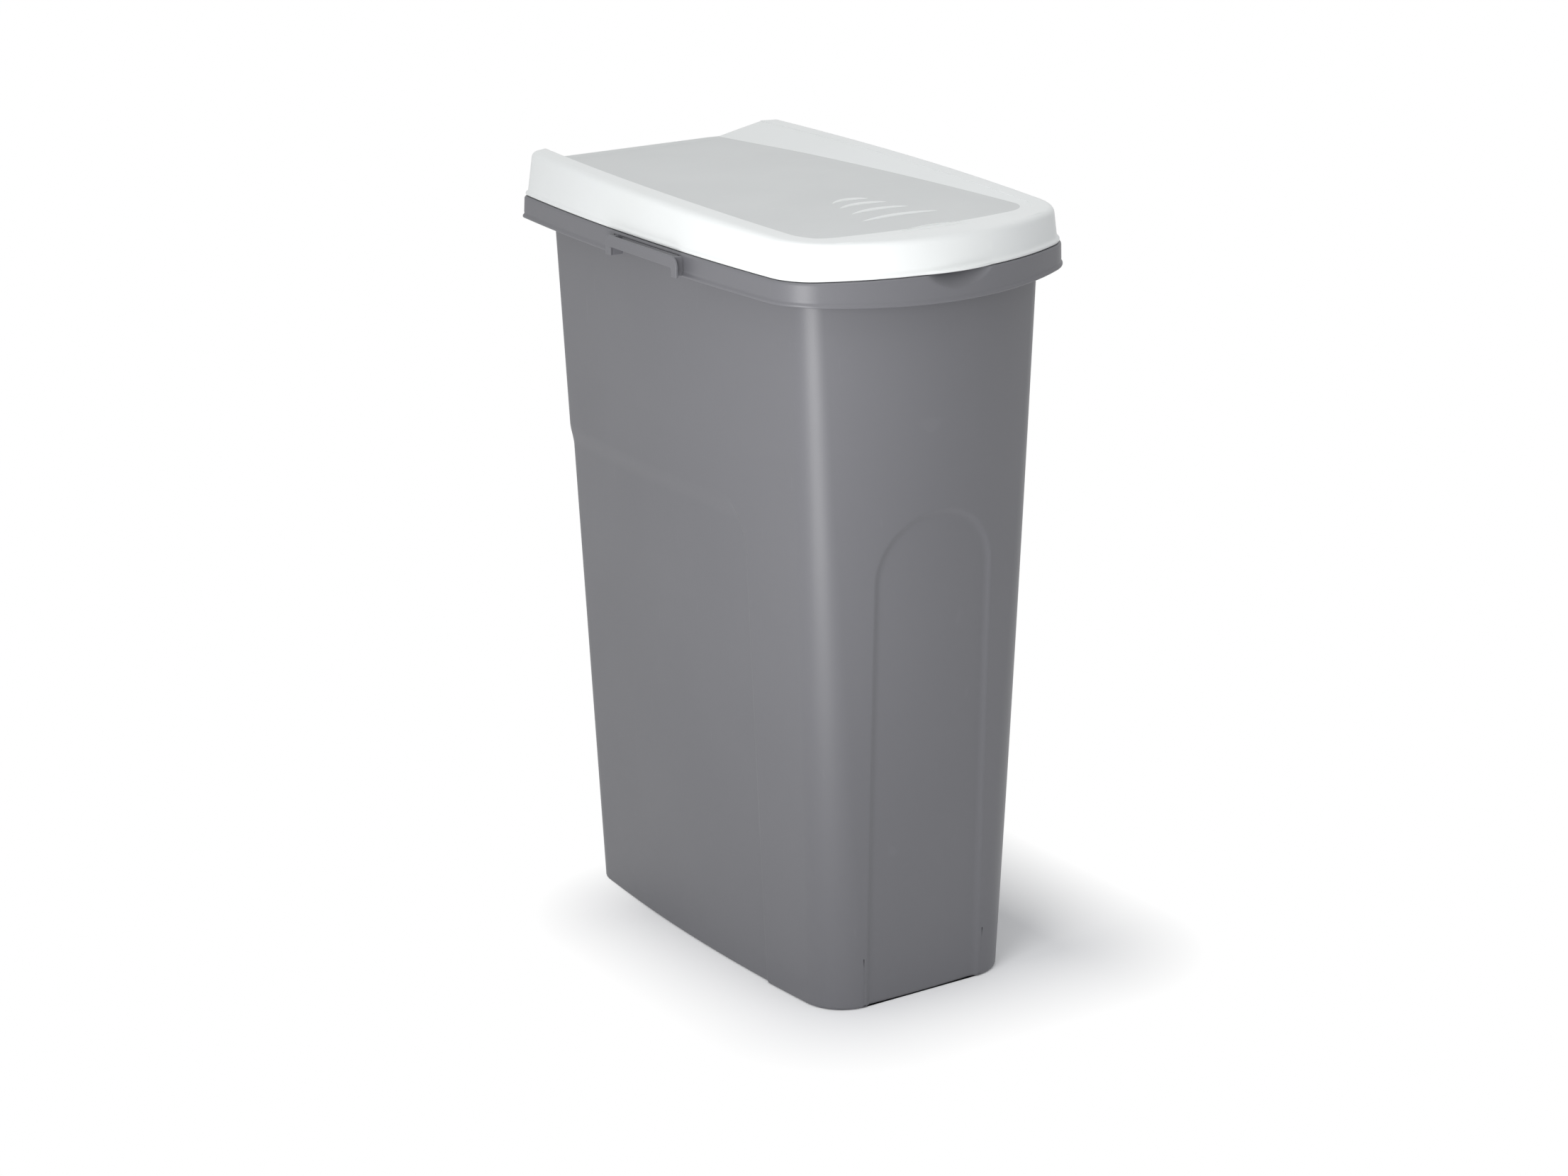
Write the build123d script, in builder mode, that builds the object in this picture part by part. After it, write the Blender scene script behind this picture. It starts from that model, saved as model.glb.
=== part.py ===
from build123d import *
import os

os.makedirs("parts", exist_ok=True)

# A slim kitchen bin with a hinged lid, in millimetres.
# Origin: middle of the base, on the floor. +Z up, the front is at -Y, +X is the width.

# Height of the rim above the floor, how deep its skirt hangs, and how far the lid rises from the rim
rim_top = 565.0
rim_skirt = 17.0
lid_front_rise = 26.0
lid_back_rise = 34.8

# Wall thicknesses and the gap between lid and rim
wall = 2.0
floor_thickness = 2.5
lid_wall = 2.2
lid_gap = 0.4

# Plan of the base: full width, reach to the front and to the back, how far the sides and the front bow out
base_width = 181.4
base_front = 173.0
base_back = 173.0
base_side_bow = 8.8
base_front_bow = 2.2
base_front_radius = 34.4
base_back_radius = 20.0
base_edge_radius = 2.5

# Plan of the rim at its lower edge
rim_width = 263.4
rim_front = 218.8
rim_back = 194.2
rim_side_bow = 9.0
rim_front_bow = 38.0
rim_front_radius = 41.9
rim_back_radius = 7.4
rim_lean = 1.4
rim_front_lean = 1.4
rim_front_drop = 3.5

# The tub's wall where it meets the rim
rim_overhang = 17.7
neck_front_bow = 29.6
neck_front_radius = 26.0
neck_back_radius = 7.0

# Recess that runs from a line on each side round the back
recess_depth = 2.0
side_recess_front = 93.0
side_recess_top = 385.0
side_recess_ramp = 18.0
side_recess_radius = 46.0
# The ramp runs on past the wall's face by this share of itself, so that it leaves cleanly
ramp_overrun = 0.25

# Arched recess in the front
arch_half_width = 51.5
arch_top = 385.4
arch_depth = 2.2

# Thumb scoop: a ball pressed into the rim's front
scoop_radius = 85.0
scoop_ahead = 65.0
scoop_rise = 41.6

# Coupling strap on the left side
strap_front = 59.4
strap_back = 39.4
strap_below_rim = 1.5
strap_above_skirt = 0.6
strap_height = 8.5
strap_leg = 7.0
strap_thickness = 2.0
strap_gap = 4.0
strap_front_radius = 8.0
strap_back_radius = 4.5
strap_window_below_rim = 2.5
strap_window_margin = 1.5

# Lid: how far its edge and its top stand in from the rim
lid_edge_inset = 1.0
lid_bead = 1.6
lid_bead_height = 5.5
lid_side_inset = 10.0
lid_front_inset = 4.3
lid_back_inset = 6.8
lid_front_bow = 28.5
lid_front_radius = 51.9
lid_back_radius = 6.0
lid_edge_radius = 5.0

# Sunk panel in the lid's top: how deep it lies at the front and the back of the lid.
# Both slopes start a little outside the panel's outline. The left one is a short lead and then as wide
# as it is deep; the right one runs out to a foot that nears the middle towards the back.
panel_front_depth = 0.5
panel_back_depth = 8.3
panel_step = 0.5
panel_overrun = 1.5
rail_width = 15.2
panel_side_bow = 7.0
panel_front_margin = 24.0
panel_front_bow = 11.0
panel_corner_radius = 36.0
panel_foot_front = 78.0
panel_foot_middle = 72.0
panel_foot_rear = 65.0
panel_foot_back = 45.0
panel_left_lead = 4.5
panel_middle_place = -42.9
panel_rear_place = 81.5

# Finger ribs on the panel: half lengths, back to front, and the place of each
rib_half_lengths = (15.6, 20.5, 24.7, 32.5)
rib_places = (-67.6, -84.6, -106.1, -130.6)
rib_width = 5.0
rib_bow = 5.5
rib_height = 1.0

# Finger lip on the lid's edge, over the scoop
lip_half_width = 29.0
lip_reach = 2.4
lip_height = 2.5

# Hinge at the back of the rim
hinge_behind = 5.5
hinge_below_rim = 5.0
hinge_half_spacing = 70.0
knuckle_length = 20.0
knuckle_radius = 5.5
ear_thickness = 4.0
ear_radius = 6.0
ear_gap = 0.5
pin_radius = 2.5
pin_clearance = 0.05
pin_head_radius = 3.8
pin_head_height = 1.6
pin_chamfer = 0.5
arm_rise = 14.0
arm_crown = 1.8
arm_clearance = 1.8

# A cut goes this far past the face it leaves by
past = 10.0

# Values worked out from the sizes above; a block of the span's size is larger than the whole bin
span = 4 * rim_width
rim_bottom = rim_top - rim_skirt
lid_bottom = rim_top + lid_gap
lid_front_height = lid_bottom + lid_front_rise
lid_back_height = lid_bottom + lid_back_rise
panel_front_height = lid_front_height - panel_front_depth
panel_back_height = lid_back_height - panel_back_depth
strap_bottom = rim_bottom + strap_above_skirt
strap_top = rim_top - strap_below_rim
strap_window_top = rim_top - strap_window_below_rim
hinge_y = rim_back + hinge_behind
hinge_z = rim_top - hinge_below_rim
lid_half_width = rim_width / 2 - lid_side_inset
lid_front = rim_front - lid_front_inset
lid_back = rim_back - lid_back_inset
ramp_end = side_recess_top + side_recess_ramp * ramp_overrun

strap_face = rim_width / 2 + strap_gap + strap_thickness
ear_places = [
    hinge_side * hinge_half_spacing + offset_x
    for hinge_side in (-1, 1)
    for offset_x in (-knuckle_length / 2 - ear_gap - ear_thickness, knuckle_length / 2 + ear_gap)
]

base_plan = (
    base_width / 2,
    base_front,
    base_back,
    base_side_bow,
    base_front_bow,
    base_front_radius,
    base_back_radius,
)
neck_plan = (
    rim_width / 2 - rim_overhang,
    rim_front - rim_overhang,
    rim_back - rim_overhang,
    rim_side_bow,
    neck_front_bow,
    neck_front_radius,
    neck_back_radius,
)
lip_plan = (
    rim_width / 2,
    rim_front,
    rim_back,
    rim_side_bow,
    rim_front_bow,
    rim_front_radius,
    rim_back_radius,
)
rim_plan = (
    rim_width / 2 - rim_lean,
    rim_front - rim_front_lean,
    rim_back - rim_lean,
    rim_side_bow,
    rim_front_bow - rim_lean / 2,
    rim_front_radius - rim_lean,
    rim_back_radius,
)
lid_top_plan = (
    lid_half_width,
    lid_front,
    lid_back,
    rim_side_bow,
    lid_front_bow,
    lid_front_radius,
    lid_back_radius,
)
lid_edge_plan = (
    rim_width / 2 - rim_lean - lid_edge_inset,
    rim_front - rim_front_lean - lid_edge_inset,
    rim_back - rim_lean - lid_edge_inset,
    rim_side_bow,
    rim_front_bow - rim_lean / 2,
    rim_front_radius - rim_lean - lid_edge_inset,
    lid_back_radius,
)
lid_waist_plan = (
    lid_edge_plan[0] - lid_bead,
    lid_edge_plan[1] - lid_bead,
    lid_edge_plan[2] - lid_bead,
    rim_side_bow,
    lid_edge_plan[4],
    lid_edge_plan[5],
    lid_back_radius,
)
panel_plan = (
    lid_half_width - rail_width,
    lid_front - panel_front_margin,
    lid_back + past,
    panel_side_bow,
    panel_front_bow,
    panel_corner_radius,
    panel_front_bow,
)
panel_places = (-lid_front, panel_middle_place, panel_rear_place, lid_back + past)
panel_feet = (panel_foot_front, panel_foot_middle, panel_foot_rear, panel_foot_back)
panel_shoulder = panel_plan[1] - panel_front_bow
panel_middle = (panel_plan[2] - panel_shoulder) / 2
panel_half_length = (panel_plan[2] + panel_shoulder) / 2


def between(low, high, share):
    """The plan a given share of the way from one plan to another."""
    return tuple(a + (b - a) * share for a, b in zip(low, high))


def level(plan, height, inset=0.0):
    """The outline of one level: bowed sides and front, a straight back, four rounded corners."""
    half, front, back, side_bow, front_bow, front_radius, back_radius = plan
    side = half - side_bow
    shoulder = front - front_bow
    middle = (back - shoulder) / 2
    with BuildSketch(Plane.XY.offset(height)) as outline:
        with BuildLine():
            ThreePointArc((-side, -shoulder), (0, -front), (side, -shoulder))
            ThreePointArc((side, -shoulder), (half, middle), (side, back))
            Line((side, back), (-side, back))
            ThreePointArc((-side, back), (-half, middle), (-side, -shoulder))
        make_face()
        if inset:
            offset(amount=-inset, kind=Kind.INTERSECTION)
        fillet(outline.vertices().group_by(Axis.Y)[0], front_radius - inset)
        fillet(outline.vertices().group_by(Axis.Y)[-1], back_radius - inset)
    return outline.sketch.face()


def wall_level(height, inset=0.0):
    """The outline of the tub's tapering wall at a height."""
    return level(between(base_plan, neck_plan, height / rim_top), height, inset)


def lid_slope(y, drop=0.0):
    """Height of the lid's sloping top at a place from front to back."""
    share = (y + lid_front) / (lid_front + lid_back)
    return lid_front_height + (lid_back_height - lid_front_height) * share - drop


def panel_height(y):
    """Height of the sunk panel at a place from front to back."""
    share = (y + lid_front) / (lid_front + lid_back)
    return panel_front_height + (panel_back_height - panel_front_height) * share


def recess_core(inset):
    """Everything inside the side recess's floor."""
    ramp_bottom = side_recess_top - side_recess_ramp
    floor_inset = inset + recess_depth
    ramp_inset = inset - recess_depth * ramp_overrun
    with BuildPart() as core:
        loft([wall_level(0, floor_inset), wall_level(ramp_bottom, floor_inset)], ruled=True)
        loft([wall_level(ramp_bottom, floor_inset), wall_level(ramp_end, ramp_inset)], ruled=True)
        extrude(wall_level(ramp_end, ramp_inset), amount=past)
    return core.part


def side_recess(inset, grow):
    """What the side recess takes off the wall, or keeps behind it once grown by the wall's thickness."""
    with BuildPart() as cut:
        with BuildSketch(Plane.YZ.offset(-rim_width)) as profile:
            with BuildLine():
                Polyline(
                    (-side_recess_front - grow, -past),
                    (-side_recess_front - grow, ramp_end + grow),
                    (base_back + rim_width, ramp_end + grow),
                    (base_back + rim_width, -past),
                    close=True,
                )
            make_face()
            corner = profile.vertices().group_by(Axis.X)[0].sort_by(Axis.Y)[-1]
            fillet(corner, side_recess_radius + grow)
        extrude(amount=2 * rim_width)
        add(recess_core(inset), mode=Mode.SUBTRACT)
    return cut.part


def front_recess(inset, grow):
    """What the arched recess takes off the front wall, or keeps behind it."""
    spring = arch_top - arch_half_width
    with BuildPart() as cut:
        with BuildSketch(Plane.XZ):
            with BuildLine():
                reach = arch_half_width + grow
                Line((-reach, -past), (-reach, spring))
                ThreePointArc((-reach, spring), (0, spring + reach), (reach, spring))
                Line((reach, spring), (reach, -past))
                Line((reach, -past), (-reach, -past))
            make_face()
        extrude(amount=rim_front + past)
        floor_inset = inset + arch_depth
        core = [wall_level(0, floor_inset), wall_level(rim_bottom, floor_inset)]
        loft(core, ruled=True, mode=Mode.SUBTRACT)
    return cut.part


def scoop_ball(radius):
    """The ball that shapes the thumb scoop."""
    with BuildPart() as ball:
        with Locations((0, -rim_front - scoop_ahead, rim_top + scoop_rise)):
            Sphere(radius)
    return ball.part


# Inside of the tub, with the wall kept behind the recesses
with BuildPart() as tub_hollow:
    loft([wall_level(0, wall), wall_level(rim_top, wall)], ruled=True)
    extrude(wall_level(rim_top, wall), amount=past)
    with Locations((0, 0, floor_thickness - span / 2)):
        Box(span, span, span, mode=Mode.SUBTRACT)
    add(side_recess(wall, wall), mode=Mode.SUBTRACT)
    add(front_recess(wall, wall), mode=Mode.SUBTRACT)

# Hollow under the rim, between its skirt and the wall, with the wall kept behind the scoop
with BuildPart() as rim_hollow:
    skirt_foot = rim_bottom - rim_front_drop
    loft([level(lip_plan, skirt_foot - past, wall), level(lip_plan, rim_bottom, wall)], ruled=True)
    loft([level(lip_plan, rim_bottom, wall), level(rim_plan, rim_top, wall)], ruled=True)
    with Locations((0, 0, rim_top - wall + span / 2)):
        Box(span, span, span, mode=Mode.SUBTRACT)
    add(scoop_ball(scoop_radius + wall), mode=Mode.SUBTRACT)

# Tub: rim skirt first, then the wall inside it, then the cuts
with BuildPart() as tub:
    loft([level(lip_plan, skirt_foot), level(lip_plan, rim_bottom)], ruled=True)
    loft([level(lip_plan, rim_bottom), level(rim_plan, rim_top)], ruled=True)
    add(rim_hollow.part, mode=Mode.SUBTRACT)

    # the skirt's lower edge dips in the middle of the front
    with BuildSketch(Plane.XZ.offset(-rim_back - past)):
        with BuildLine():
            shoulder = rim_width / 2 - rim_side_bow
            Polyline(
                (-shoulder, rim_bottom),
                (-rim_width, rim_bottom),
                (-rim_width, rim_bottom - 2 * past),
                (rim_width, rim_bottom - 2 * past),
                (rim_width, rim_bottom),
                (shoulder, rim_bottom),
            )
            ThreePointArc((shoulder, rim_bottom), (0, skirt_foot), (-shoulder, rim_bottom))
        make_face()
    extrude(amount=rim_front + rim_back + 2 * past, mode=Mode.SUBTRACT)
    with Locations((0, rim_front_bow - rim_front + span / 2, rim_bottom - span / 2)):
        Box(span, span, span, mode=Mode.SUBTRACT)

    # window in the skirt behind the coupling strap
    with BuildSketch(Plane.YZ.offset(-rim_width)) as window:
        with BuildLine():
            Polyline(
                (-strap_front - strap_window_margin, rim_bottom - past),
                (-strap_front - strap_window_margin, strap_window_top),
                (strap_back, strap_window_top),
                (strap_back, rim_bottom - past),
                close=True,
            )
        make_face()
        fillet(window.vertices().group_by(Axis.Y)[-1], strap_front_radius)
    extrude(amount=rim_width / 2 + rim_overhang + wall, mode=Mode.SUBTRACT)

    # coupling strap: a flat plate on two webs that hang from the rim
    with BuildSketch(Plane.YZ.offset(-strap_face)) as plate:
        with BuildLine():
            Polyline(
                (-strap_front, strap_bottom),
                (-strap_front, strap_top),
                (strap_back, strap_top),
                (strap_back, strap_bottom),
                (strap_back - strap_leg, strap_bottom),
                (strap_back - strap_leg, strap_top - strap_height),
                (-strap_front + strap_leg, strap_top - strap_height),
                (-strap_front + strap_leg, strap_bottom),
                close=True,
            )
        make_face()
        upper_corners = plate.vertices().filter_by_position(Axis.Y, strap_top, strap_top).sort_by(Axis.X)
        fillet(upper_corners[0], strap_front_radius)
        fillet(upper_corners[-1], strap_back_radius)
    extrude(amount=strap_thickness)
    with BuildSketch(Plane.YZ.offset(-strap_face)):
        for web in (-strap_front + strap_leg - wall, strap_back - strap_leg):
            with Locations((web + wall / 2, (strap_bottom + strap_top) / 2)):
                Rectangle(wall, strap_top - strap_bottom)
    extrude(amount=strap_gap + strap_thickness + rim_lean + wall)

    # ears for the hinge pins
    with BuildSketch(Plane.YZ):
        with BuildLine():
            root = rim_back - rim_lean - wall
            Polyline(
                (hinge_y, hinge_z - ear_radius),
                (root, hinge_z - ear_radius - wall),
                (root, rim_top),
                (hinge_y, hinge_z + ear_radius),
            )
            ThreePointArc(
                (hinge_y, hinge_z + ear_radius),
                (hinge_y + ear_radius, hinge_z),
                (hinge_y, hinge_z - ear_radius),
            )
        make_face()
        with Locations((hinge_y, hinge_z)):
            Circle(pin_radius, mode=Mode.SUBTRACT)
    ear = extrude(amount=ear_thickness, mode=Mode.PRIVATE)
    for ear_x in ear_places:
        add(ear.moved(Location((ear_x, 0, 0))))

    # the wall and its recesses
    loft([wall_level(0), wall_level(rim_top)], ruled=True)
    fillet(tub.edges().group_by(Axis.Z)[0], base_edge_radius)
    add(side_recess(0.0, 0.0), mode=Mode.SUBTRACT)
    add(front_recess(0.0, 0.0), mode=Mode.SUBTRACT)
    add(tub_hollow.part, mode=Mode.SUBTRACT)
    add(scoop_ball(scoop_radius), mode=Mode.SUBTRACT)

tub.part.label = "tub"
export_step(tub.part, "parts/tub.step")

# Hinge pins, with a head at the outer end
for side, pin_name in ((-1, "left_hinge_pin"), (1, "right_hinge_pin")):
    inner_end = hinge_half_spacing - knuckle_length / 2 - ear_gap - ear_thickness
    outer_end = hinge_half_spacing + knuckle_length / 2 + ear_gap + ear_thickness
    with BuildPart() as pin:
        with BuildSketch(Plane.YZ.offset(side * inner_end)):
            with Locations((hinge_y, hinge_z)):
                Circle(pin_radius)
        extrude(amount=side * (outer_end - inner_end))
        with BuildSketch(Plane.YZ.offset(side * outer_end)):
            with Locations((hinge_y, hinge_z)):
                Circle(pin_head_radius)
        extrude(amount=side * pin_head_height)
        inner_edge = pin.edges().filter_by(GeomType.CIRCLE).sort_by(Axis.X)[0 if side > 0 else -1]
        chamfer(inner_edge, pin_chamfer)
    pin.part.label = pin_name
    export_step(pin.part, "parts/" + pin_name + ".step")

# What is sunk into the lid's top: a panel, side slopes that fade towards the front, a low step all round
with BuildPart() as sunk:
    sections = []
    for y, foot in zip(panel_places, panel_feet):
        floor_height = panel_height(y)
        rail_height = lid_slope(y, panel_step)
        bow = panel_side_bow * ((y - panel_middle) / panel_half_length) ** 2
        reach = panel_plan[0] - bow + panel_overrun
        ease = (reach - foot) / 2
        left_width = panel_left_lead + rail_height - floor_height
        left_ease = left_width / 2
        left_foot = left_width - reach
        with BuildSketch(Plane.XZ.offset(-y)) as section:
            with BuildLine():
                Line((left_foot, floor_height), (foot, floor_height))
                Bezier(
                    (foot, floor_height),
                    (foot + ease, floor_height),
                    (reach - ease, rail_height),
                    (reach, rail_height),
                )
                Polyline(
                    (reach, rail_height),
                    (reach, lid_back_height + past),
                    (-reach, lid_back_height + past),
                    (-reach, rail_height),
                )
                Bezier(
                    (-reach, rail_height),
                    (left_ease - reach, rail_height),
                    (left_foot - left_ease, floor_height),
                    (left_foot, floor_height),
                )
            make_face()
        sections.append(section.sketch.face())
    loft(sections, ruled=True)
    block_height = lid_back_height - panel_front_height + 2 * past
    extrude(level(panel_plan, panel_front_height - past), amount=block_height, mode=Mode.INTERSECT)


def lid_body(inset, drop):
    """The lid's outer form, or the hollow under it once drawn in by the wall."""
    waist = lid_bottom + lid_bead_height
    with BuildPart() as body:
        loft([level(lid_edge_plan, lid_bottom, inset), level(lid_waist_plan, waist, inset)], ruled=True)
        top = lid_back_height + lid_wall
        loft([level(lid_waist_plan, waist, inset), level(lid_top_plan, top, inset)], ruled=True)
        with BuildSketch(Plane.YZ.offset(-rim_width)):
            with BuildLine():
                Polyline(
                    (-rim_width, lid_slope(-rim_width, drop)),
                    (rim_width, lid_slope(rim_width, drop)),
                    (rim_width, lid_back_height + rim_width),
                    (-rim_width, lid_back_height + rim_width),
                    close=True,
                )
            make_face()
        extrude(amount=2 * rim_width, mode=Mode.SUBTRACT)
    return body.part


with BuildPart() as lid_hollow:
    add(lid_body(lid_wall, lid_wall))
    extrude(level(lid_edge_plan, lid_bottom, lid_wall), amount=-past)
    add(sunk.part.moved(Location((0, 0, -lid_wall))), mode=Mode.SUBTRACT)

# Lid
with BuildPart() as lid:
    add(lid_body(0.0, 0.0))
    fillet(lid.faces().sort_by(Axis.Z)[-1].edges(), lid_edge_radius)
    add(sunk.part, mode=Mode.SUBTRACT)

    # finger ribs on the panel
    with BuildSketch(Plane.XY.offset(panel_front_height - rib_height)):
        for half_length, place in zip(rib_half_lengths, rib_places):
            crown = place + rib_bow
            with BuildLine():
                ThreePointArc((-half_length, place), (0, crown + rib_width / 2), (half_length, place))
                ThreePointArc((half_length, place), (0, crown - rib_width / 2), (-half_length, place))
            make_face()
    extrude(amount=2 * rib_height + panel_height(rib_places[0]) - panel_front_height)

    # finger lip over the scoop
    with BuildSketch(Plane.XY.offset(lid_bottom)):
        with BuildLine():
            lip_root = lid_edge_plan[1] - lip_reach
            Line((-lip_half_width, -lip_root), (lip_half_width, -lip_root))
            ThreePointArc(
                (lip_half_width, -lip_root),
                (0, -lid_edge_plan[1] - lip_reach),
                (-lip_half_width, -lip_root),
            )
        make_face()
    extrude(amount=lip_height)
    add(lid_hollow.part, mode=Mode.SUBTRACT)

    # arms that reach over the rim to the hinge pins
    for centre in (-hinge_half_spacing, hinge_half_spacing):
        with BuildSketch(Plane.YZ.offset(centre - knuckle_length / 2)):
            with BuildLine():
                arm_root = lid_back - lid_wall / 2
                arm_low = rim_top + arm_clearance
                Polyline(
                    (hinge_y + knuckle_radius, hinge_z),
                    (hinge_y - knuckle_radius, hinge_z),
                    (hinge_y - knuckle_radius, arm_low),
                    (arm_root, arm_low),
                    (arm_root, arm_low + arm_rise),
                )
                ThreePointArc(
                    (arm_root, arm_low + arm_rise),
                    (hinge_y + arm_crown, hinge_z + arm_rise),
                    (hinge_y + knuckle_radius, hinge_z),
                )
            make_face()
            with Locations((hinge_y, hinge_z)):
                Circle(knuckle_radius)
                Circle(pin_radius + pin_clearance, mode=Mode.SUBTRACT)
        extrude(amount=knuckle_length)

lid.part.label = "lid"
export_step(lid.part, "parts/lid.step")
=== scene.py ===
import math
from collections import namedtuple

import bpy
import numpy as np
from mathutils import Matrix, Vector


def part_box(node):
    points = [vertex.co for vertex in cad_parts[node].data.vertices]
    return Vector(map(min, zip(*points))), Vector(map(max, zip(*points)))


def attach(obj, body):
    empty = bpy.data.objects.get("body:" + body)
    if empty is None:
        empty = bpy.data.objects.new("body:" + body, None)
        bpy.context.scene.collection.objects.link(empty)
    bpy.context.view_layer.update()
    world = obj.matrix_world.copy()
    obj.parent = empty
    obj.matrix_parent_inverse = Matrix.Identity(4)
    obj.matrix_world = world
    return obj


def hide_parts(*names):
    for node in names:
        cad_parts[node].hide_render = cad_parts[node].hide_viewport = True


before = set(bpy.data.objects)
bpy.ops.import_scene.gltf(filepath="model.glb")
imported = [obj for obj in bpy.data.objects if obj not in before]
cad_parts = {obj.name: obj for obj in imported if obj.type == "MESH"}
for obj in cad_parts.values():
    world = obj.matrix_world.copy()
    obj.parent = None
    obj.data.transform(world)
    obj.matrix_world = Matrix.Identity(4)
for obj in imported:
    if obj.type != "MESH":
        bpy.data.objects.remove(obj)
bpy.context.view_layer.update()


# Tub: one moulding of dark grey polypropylene, in metres. A slim wall tapers down from a wide rim whose
# skirt hangs all round. An arched recess is sunk into its front, and another runs from a line on each side
# round the back. A thumb scoop is pressed into the rim's front, and the skirt is cut away for the strap.
Plan = namedtuple("Plan", "half front back side_bow front_bow front_radius back_radius")

rim_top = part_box("tub")[1].z - 0.001
rim_skirt = 0.017
rim_bottom = rim_top - rim_skirt
rim_thickness = 0.002
tub_wall = 0.002
tub_floor = 0.0025
foot_plan = Plan(0.0907, 0.1730, 0.1730, 0.0088, 0.0022, 0.0344, 0.0200)
neck_plan = Plan(0.1140, 0.2011, 0.1765, 0.0090, 0.0296, 0.0260, 0.0070)
lip_plan = Plan(0.1317, 0.2188, 0.1942, 0.0090, 0.0380, 0.0419, 0.0074)
crest_plan = Plan(0.1303, 0.2174, 0.1928, 0.0090, 0.0373, 0.0405, 0.0074)

foot_edge_radius = 0.0025
floor_edge_radius = 0.004
crest_radius = 0.0018
mouth_radius = 0.0010
rim_top_insets = (0.0022, 0.0028, 0.0035, 0.0042, 0.0052, 0.0064, 0.0078, 0.0095, 0.0120)
crease_angle = math.radians(38)
front_drop = 0.0035
front_drop_half = 0.115

arch_half = 0.0515
arch_top = 0.3854
arch_depth = 0.0022
arch_blend = 0.006
side_recess_front = -0.093
side_recess_top = 0.385
side_recess_ramp = 0.018
side_recess_radius = 0.046
side_recess_depth = 0.002
side_recess_blend = 0.004
side_recess_overrun = 0.25

scoop_centre = np.array([0.0, -0.2838, 0.6066])
scoop_radius = 0.085

strap_front = -0.0594
strap_back = 0.0394
window_front = -0.0500
window_back = strap_back + 0.0001
window_top = rim_top - 0.0025
window_curl = 0.008
window_margin = 0.001
curl_fade = 0.006


def mix(low, high, share):
    """The plan a share of the way from one plan to another."""
    return Plan(*(a + (b - a) * share for a, b in zip(low, high)))


def half_outline(
    plan, front_marks, front_steps, corner_steps, side_marks, side_steps, back_corner_steps, back_steps
):
    """Points and outward normals of a level's right half, from the middle of the front to that of the back."""
    side = plan.half - plan.side_bow
    shoulder = plan.front - plan.front_bow
    front_radius = (side**2 + plan.front_bow**2) / (2 * plan.front_bow)
    front_y = front_radius - plan.front
    middle = (plan.back - shoulder) / 2
    side_radius = (((plan.back + shoulder) / 2) ** 2 + plan.side_bow**2) / (2 * plan.side_bow)
    side_x = plan.half - side_radius

    # the front corner's circle touches the front arc and the side arc from inside
    near, far = front_radius - plan.front_radius, side_radius - plan.front_radius
    across, along = side_x, middle - front_y
    span = math.hypot(across, along)
    foot = (near**2 - far**2 + span**2) / (2 * span)
    height = math.sqrt(near**2 - foot**2)
    corner_x = foot * across / span - height * along / span
    corner_y = front_y + foot * along / span + height * across / span
    if corner_y > front_y:
        corner_x = foot * across / span + height * along / span
        corner_y = front_y + foot * along / span - height * across / span
    back_corner_y = plan.back - plan.back_radius
    back_reach = side_radius - plan.back_radius
    back_corner_x = side_x + math.sqrt(back_reach**2 - (back_corner_y - middle) ** 2)

    front_end = corner_x * front_radius / near
    front_angle = math.atan2(corner_y - front_y, corner_x)
    side_angle = math.atan2(corner_y - middle, corner_x - side_x)
    back_angle = math.atan2(back_corner_y - middle, back_corner_x - side_x)
    side_start = middle + side_radius * math.sin(side_angle)
    side_end = middle + side_radius * math.sin(back_angle)

    points, normals = [], []

    def arc(centre_x, centre_y, radius, angles):
        """Adds the points and normals of one arc."""
        unit = np.column_stack([np.cos(angles), np.sin(angles)])
        points.append(unit * radius + [centre_x, centre_y])
        normals.append(unit)

    xs = np.concatenate([front_marks, np.linspace(front_marks[-1], front_end, front_steps + 1)[1:]])
    arc(0, front_y, front_radius, -np.arccos(xs / front_radius))
    arc(corner_x, corner_y, plan.front_radius, np.linspace(front_angle, side_angle, corner_steps + 1)[1:])
    before = np.linspace(side_start, side_marks[0], side_steps + 1)[1:-1]
    after = np.linspace(side_marks[-1], side_end, side_steps + 1)[1:]
    ys = np.concatenate([before, side_marks, after])
    arc(side_x, middle, side_radius, np.arcsin((ys - middle) / side_radius))
    quarter = np.linspace(back_angle, math.pi / 2, back_corner_steps + 1)[1:]
    arc(back_corner_x, back_corner_y, plan.back_radius, quarter)
    for x in np.linspace(back_corner_x, 0, back_steps + 1)[1:] if back_steps else ():
        points.append(np.array([[x, plan.back]]))
        normals.append(np.array([[0.0, 1.0]]))
    return np.concatenate(points), np.concatenate(normals)


tub_front_marks = np.concatenate([np.linspace(0, arch_half, 35), arch_half + np.array([0.0012, 0.0026])])
tub_side_marks = np.concatenate(
    [
        np.arange(-0.0975, -0.0487, 0.0015),
        [-0.048, -0.045, -0.042, -0.039],
        np.linspace(-0.034, 0.034, 12),
        [0.038, strap_back, strap_back + 0.0003, 0.042, 0.055, 0.075, 0.1, 0.125, 0.148],
    ]
)


def tub_loop(plan):
    """One closed level of the tub, from the middle of the front by the right side, the back and the left."""
    xy, out = half_outline(plan, tub_front_marks, 5, 18, tub_side_marks, 4, 8, 10)
    flip = np.array([-1.0, 1.0])
    return np.concatenate([xy, xy[-2:0:-1] * flip]), np.concatenate([out, out[-2:0:-1] * flip])


def smooth(value, low, high):
    """0 below low, 1 above high, and an even S between them."""
    share = np.clip((value - low) / (high - low), 0, 1)
    return share * share * (3 - 2 * share)


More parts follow.
